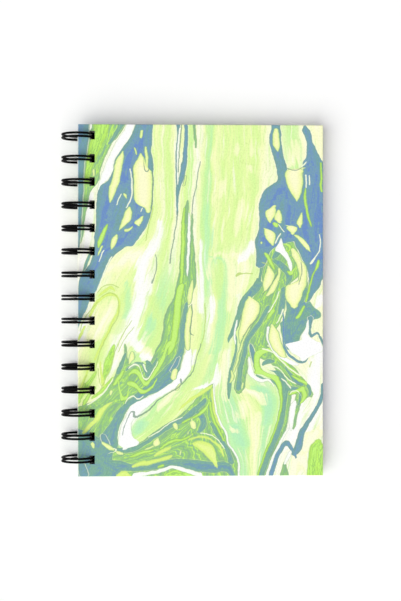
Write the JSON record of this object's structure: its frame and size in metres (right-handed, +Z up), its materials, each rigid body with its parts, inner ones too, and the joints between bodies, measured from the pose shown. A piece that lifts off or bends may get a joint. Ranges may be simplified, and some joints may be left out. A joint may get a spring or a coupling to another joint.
{
  "type": "twin-loop wire notebook",
  "caption": "Wire-bound notebook with stiff marbled covers, a block of sheets and black twin-loop rings along the left edge.",
  "frame": {"origin": "under the middle of the whole part, at the height of the lowest points of the rings", "axes": "+Y runs along the spine towards the head edge, +X from the spine to the fore edge, +Z up, square to the covers"},
  "size_m": [0.1442, 0.193, 0.019],
  "materials": {
    "front_board": "board covered in marbled printed paper, satin, pale lining inside",
    "sheets": "uncoated white sheets",
    "back_board": "board covered in marbled printed paper, satin, pale lining inside",
    "black_wire": "steel wire with a black coating, semi-gloss"
  },
  "bodies": {
    "bound_block": {"page_block": "sheets", "binding_wire": "black_wire"},
    "front": {"front_cover": "front_board"},
    "back": {"back_cover": "back_board"}
  },
  "joints": [
    {"name": "front_cover_turn", "type": "hinge", "parent": "bound_block", "child": "front", "pos_m": [-0.06258, 0, 0.0095], "axis": [0, -1, 0], "range_deg": [0, 180]},
    {"name": "back_cover_turn", "type": "hinge", "parent": "bound_block", "child": "back", "pos_m": [-0.06258, 0, 0.0095], "axis": [0, 1, 0], "range_deg": [0, 180]}
  ]
}
